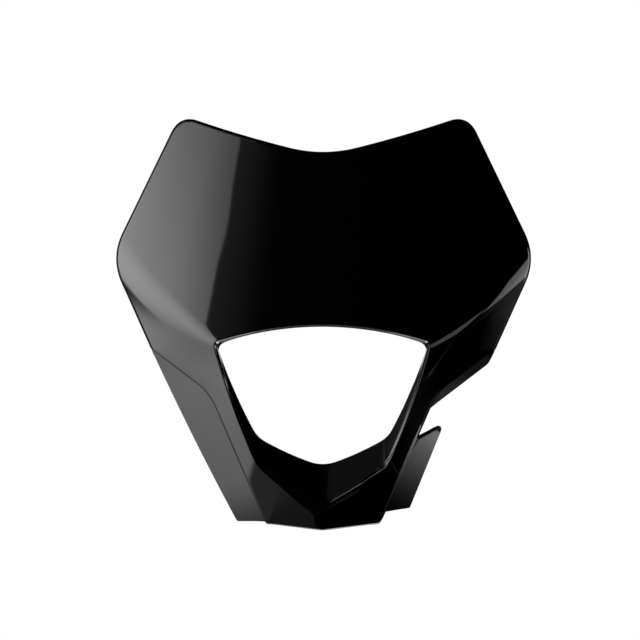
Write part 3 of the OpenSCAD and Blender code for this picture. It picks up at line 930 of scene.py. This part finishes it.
# %% The plastic
BLACK = (0.0015, 0.0015, 0.0016, 1)
plastic, b = fresh("gloss black plastic")
place = b.node("ShaderNodeTexCoord").outputs["Object"]
inside_value = b.value(b.node("ShaderNodeAttribute", {"attribute_name": "inside"}), 2)
waves = b.value(b.node("ShaderNodeTexNoise", Vector=place, Scale=22.0, Detail=1.0, Roughness=0.4))
drawn = b.node("ShaderNodeMapping", Vector=place, Rotation=(0, 0.5, 0), Scale=(900, 300, 140)).outputs[0]
wipes = b.value(b.node("ShaderNodeTexNoise", Vector=drawn, Scale=1.0, Detail=5.0, Roughness=0.62))
grain = b.value(b.node("ShaderNodeTexNoise", Vector=place, Scale=2600.0, Detail=2.0, Roughness=0.6))
polish = 0.045 + 0.03 * wipes
grained = 0.36 + 0.1 * grain
roughness = polish + (grained - polish) * inside_value
WAVE_HEIGHT, GRAIN_HEIGHT = 0.00006, 0.00012
height = waves * WAVE_HEIGHT * (1 - inside_value) + grain * GRAIN_HEIGHT * inside_value
bump = b.node("ShaderNodeBump", Height=height, Distance=1.0, Strength=1.0)
shader = b.node("ShaderNodeBsdfPrincipled", Base_Color=BLACK, Roughness=roughness, IOR=1.5,
                Normal=bump.outputs[0])
b.node("ShaderNodeOutputMaterial", Surface=shader.outputs[0])
for piece in pieces:
    piece.data.materials.append(plastic)
print("plastic nodes:", len(plastic.node_tree.nodes))

# %% [markdown]
# ## Floor
# A plain pale floor well below the cowl, out of the camera's frame, as for a part that hangs
# in front of a white wall. It takes the cowl's soft shadow and fades to white further out.
# The gloss doesn't see it, because the photograph's dark facets show no pale floor.

# %% Floor
def smooth(value, start, stop, low=0.0, high=1.0):
    """Goes smoothly from low to high while the value goes from start to stop."""
    b = Board(value.tree)
    return b.value(b.node("ShaderNodeMapRange", {"interpolation_type": "SMOOTHSTEP"}, Value=value,
                          From_Min=start, From_Max=stop, To_Min=low, To_Max=high))


def band(value, start, full, still, stop):
    """One from full to still, and smoothly down to zero at start and stop."""
    return smooth(value, start, full) * smooth(value, stop, still)


FLOOR_Z, FLOOR_R = -0.36, 3.0
bpy.ops.mesh.primitive_circle_add(vertices=96, radius=FLOOR_R, fill_type="NGON", location=(0, 0, FLOOR_Z))
floor = bpy.context.object
floor.name = "floor"
floor.visible_glossy = False
paper, b = fresh("pale floor")
place = b.node("ShaderNodeTexCoord").outputs["Object"]
speck = b.value(b.node("ShaderNodeTexNoise", Vector=place, Scale=900.0, Detail=2.0))
reach = b.value(b.node("ShaderNodeVectorMath", {"operation": "LENGTH"}, Vector=place), 1)
sheet = b.node("ShaderNodeBsdfPrincipled", Base_Color=(0.8, 0.8, 0.79, 1), Roughness=0.85 + 0.1 * speck)
white = b.node("ShaderNodeEmission", Color=(1, 1, 1, 1), Strength=1.0)
seen = b.value(b.node("ShaderNodeLightPath")) * smooth(reach, 0.3, 1.6, 0.6, 1.0)
blend = b.node("ShaderNodeMixShader", Fac=seen)
put(b.tree, blend.inputs[1], sheet.outputs[0])
put(b.tree, blend.inputs[2], white.outputs[0])
b.node("ShaderNodeOutputMaterial", Surface=blend.outputs[0])
floor.data.materials.append(paper)
floor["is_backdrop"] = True
print("floor below the chin, mm:", round((cad_low[2] - FLOOR_Z) * 1000))

# %% [markdown]
# ## The softbox
# Gloss black shows its lamps as a mirror does, so the lamp's own shape matters. A tall curved
# softbox stands half a metre from the cowl's left side, 0 degrees being straight ahead. It is
# brightest a little above the cowl, dims upward, downward and backward, and its near edge is
# crisp, with a little spill in front of it.

# %% Softbox
def curved_card(name, bearing, height, radius, cols=64, rows=24):
    """A piece of upright cylinder round the cowl, between two bearings and two heights."""
    t, z = np.meshgrid(np.radians(np.linspace(*bearing, cols)), np.linspace(*height, rows))
    verts = np.stack([-radius * np.sin(t), -radius * np.cos(t), z], -1).reshape(-1, 3)
    return lamp(name, verts, grid(rows, cols, False, False))


def lamp(name, verts, quads):
    """A lamp's surface, which only the reflections see."""
    mesh = bpy.data.meshes.new(name)
    mesh.from_pydata(verts.tolist(), [], quads.tolist())
    card = bpy.data.objects.new(name, mesh)
    scene.collection.objects.link(card)
    card.visible_camera = False
    card.visible_shadow = False
    card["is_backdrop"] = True
    return card


def light_up(b, card, material, level):
    """Gives a card its light. The level goes in as the colour, which may vary over a surface."""
    glow = b.node("ShaderNodeEmission", Color=level, Strength=1.0)
    b.node("ShaderNodeOutputMaterial", Surface=glow.outputs[0])
    card.data.materials.append(material)


def bearings(b, vector):
    """Degrees round the cowl from straight ahead towards the left, and the height."""
    axes = b.node("ShaderNodeSeparateXYZ", Vector=vector)
    x, y, z = (b.value(axes, i) for i in range(3))
    return (y * -1).do("ARCTAN2", first=x * -1) * (180 / math.pi), z


BEARING, HEIGHT, SOFTBOX_R = (22, 152), (-0.75, 0.7), 0.5
softbox = curved_card("softbox", BEARING, HEIGHT, SOFTBOX_R)
silk, b = fresh("softbox silk")
turn, high = bearings(b, b.node("ShaderNodeTexCoord").outputs["Object"])
EDGE_AT, EDGE_DIP = (50.3, 51.5), 1.4  # the near edge's bearing, and its notch high up
FACE_LEVEL, FOOT_LEVEL, SPILL, SHADE = 0.58, 0.28, 0.2, 0.05
near_edge = smooth(turn + band(high, 0.46, 0.508, 0.508, 0.55) * EDGE_DIP, *EDGE_AT)
across = FACE_LEVEL + smooth(turn, 44, 74, 0, 0.47) - smooth(turn, 88, 154, 0, 0.95)
upward = FOOT_LEVEL + smooth(high, -0.32, -0.24, 0, 1.5) + smooth(high, -0.26, 0.2, 0, 3.3)
downward = smooth(high, 0.2, 0.6, 0, 3.15)
ends = smooth(high, 0.7, 0.6) * smooth(high, -0.62, -0.45, 0.45, 1)
far_top = smooth(turn, 100, 122) * smooth(high, 0.3, 0.5)
body = near_edge * across * (upward - downward) * ends * smooth(turn, 136, 121) * (1 - far_top * 0.97)
spill = (1 - near_edge) * smooth(turn, 24, 52) * smooth(high, 0.15, 0.3) * SPILL
shade = smooth(turn, 118, 128) * smooth(high, -0.1, 0.1) * SHADE
light_up(b, softbox, silk, body + spill + shade)
print("softbox faces:", len(softbox.data.polygons))

# %% [markdown]
# ## The tab's card
# The photograph's tab is bright at its tip and dark at its foot, though it is flat. So its
# light is small and near: a narrow card along the way that the tab's panel mirrors, whose
# light halves every 15 mm away from its brightest line. One upper corner is cut off askew.

# %% Tab card
MIRROR_TURN, MIRROR_RISE = math.radians(-112), math.radians(-22)  # the way the tab mirrors
CARD_AT, CARD_AWAY = Vector((0.076, 0.007, -0.028)), 0.03
ahead = Vector((-math.cos(MIRROR_RISE) * math.sin(MIRROR_TURN),
                -math.cos(MIRROR_RISE) * math.cos(MIRROR_TURN), math.sin(MIRROR_RISE)))
SIDES, ENDS = (-0.0092, 0.013), (-0.062, 0.004)
corners = np.array([(x, y, 0) for x, y in zip(SIDES + SIDES[::-1], np.repeat(ENDS, 2))])
card = lamp("tab_card", corners, np.array([[0, 1, 2, 3]]))
card.location = CARD_AT + ahead * CARD_AWAY
card.rotation_euler = ahead.to_track_quat("Z", "Y").to_euler()
paper, b = fresh("tab card")
axes = b.node("ShaderNodeSeparateXYZ", Vector=b.node("ShaderNodeTexCoord").outputs["Object"])
side, along = b.value(axes, 0), b.value(axes, 1)
HALVING, CARD_LEVEL = 0.015, 2.2
CUT_SIDE, CUT_FROM, SKEW = -0.0087, -0.009, 0.55
inside_cut = side - CUT_SIDE - (along - CUT_FROM).do("MAXIMUM", 0) * SKEW
edges = smooth(inside_cut, -0.0004, 0.0003) * smooth(along, 0.0038, 0.0025)
fade = (along.do("ABSOLUTE") / HALVING).do("POWER", first=0.5) * smooth(along, -0.07, -0.02)
light_up(b, card, paper, fade * edges * CARD_LEVEL)
print("card from the tab, mm:", round(CARD_AWAY / MM))

# %% [markdown]
# ## The rest of the studio
# The other light is drawn by direction in the world: a white wall straight behind, a strip
# high up, low strips at the right that only the creases catch, a faint front and an almost
# dark room. The scoop and the panel strip each mirror a small patch of their own, and a low
# light from behind shows the hollow back. The camera itself sees white, as in the photograph.

# %% Room
world = bpy.data.worlds.new("studio")
scene.world = world
world.use_nodes = True
world.node_tree.nodes.clear()
b = Board(world.node_tree)
turn, high = bearings(b, b.node("ShaderNodeTexCoord").outputs["Generated"])
rise = high.do("ARCSINE") * (180 / math.pi)
round_back = turn.do("ABSOLUTE")


def patch(turn_from, turn_to, rise_from, rise_to, soft, level):
    """A soft-edged patch of light between two bearings and two heights, in degrees."""
    sideways = band(turn, turn_from - soft, turn_from + soft, turn_to - soft, turn_to + soft)
    upright = band(rise, rise_from - soft, rise_from + soft, rise_to - soft, rise_to + soft)
    return sideways * upright * level


PATCHES = {  # bearings from and to, rises from and to, softness of the edges, level
    "low right": (-92, -60, -20, -4, 1.2, 1.0),
    "low right, further round": (-152, -97, -10.3, 7, 1, 1.4),
    "right": (-131, -122, 7.5, 12.5, 0.8, 2.5),
    "high up": (38, 120, 57, 64, 1.5, 1.8),
    "faint front": (-36, -8, -12, 12, 5, 0.15),
    "far left": (120, 166, 2, 44, 4, 0.03),
}
DARK = 0.0005
light = DARK
for row in PATCHES.values():
    light = light + patch(*row)
wall = smooth(round_back, 168, 173) * band(rise, -12, -6, 14, 19)
scoop = band(turn, 20, 115, 136, 146) * band(rise, 42, 50, 74, 84)
light = light + wall * 0.8 + scoop * 0.06

# %% [markdown]
# The panel strip's light is a thin arc that leans with the strip. The room's light is mottled
# a little, and the light from behind is strongest on both sides of straight behind.

# %% Strip's arc, room and light from behind
ARC_TURN, ARC_RISE, ARC_SLANT = -111.75, -22.4, 0.26
off_arc = (turn - ARC_TURN - (rise - ARC_RISE) * ARC_SLANT).do("ABSOLUTE")
arc_ends = smooth(rise, -25.5, -22.2, 0.21, 0.5) * band(rise, -30.5, -29, -22.0, -21.6)
arc = smooth(off_arc, 0.42, 0.15) * arc_ends
mottle = b.value(b.node("ShaderNodeTexNoise", {"noise_dimensions": "1D"}, W=turn, Scale=0.16, Detail=1.0))
room = band(turn, -162, -150, -112, -104) * band(rise, -24, -14, -8, 0) * (mottle * 0.12 + 0.055)
behind = 1.4 * smooth(round_back, 132, 152) + 5 * band(round_back, 122, 134, 152, 164)
light = light + arc + room + behind * band(rise, -80, -68, -38, -30)
camera_ray = b.value(b.node("ShaderNodeLightPath"))
sky = b.node("ShaderNodeBackground", Color=camera_ray + (1 - camera_ray) * light, Strength=1.0)
b.node("ShaderNodeOutputWorld", Surface=sky.outputs[0])
print("studio nodes:", len(world.node_tree.nodes))

# %% [markdown]
# ## Camera
# The photograph was taken from far away, straight at the cowl and a little to its right, so a
# long lens 15 m away gives the same view.

# %% Camera
DISTANCE, SCALE_M, TURN_DEG = 15.0, 0.00068, 0.8  # metres, metres a pixel, degrees
PHOTO_PX, SENSOR_MM = 640, 36
centre = Vector((-0.0022, 0.02, 0.0503))
a = math.radians(TURN_DEG)
lens = bpy.data.cameras.new("camera")
lens.sensor_width = SENSOR_MM
lens.lens = DISTANCE * SENSOR_MM / (PHOTO_PX * SCALE_M)
lens.clip_end = 100
camera = bpy.data.objects.new("camera", lens)
scene.collection.objects.link(camera)
camera.location = centre + DISTANCE * Vector((math.sin(a), -math.cos(a), 0))
camera.rotation_euler = (centre - camera.location).to_track_quat("-Z", "Y").to_euler()
scene.camera = camera
scene.view_settings.view_transform = "Standard"
print("lens, mm:", round(lens.lens))

# %% [markdown]
# The dressed cowl has to stay inside the CAD part's box, so every number printed here is zero
# or less. The last line writes the table of pieces.

# %% Finish
bpy.context.view_layer.update()
low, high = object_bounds()
beyond = [*(cad_low - low), *(high - cad_high)]
print("beyond the CAD box, mm:", [round(v * 1000, 3) for v in beyond])
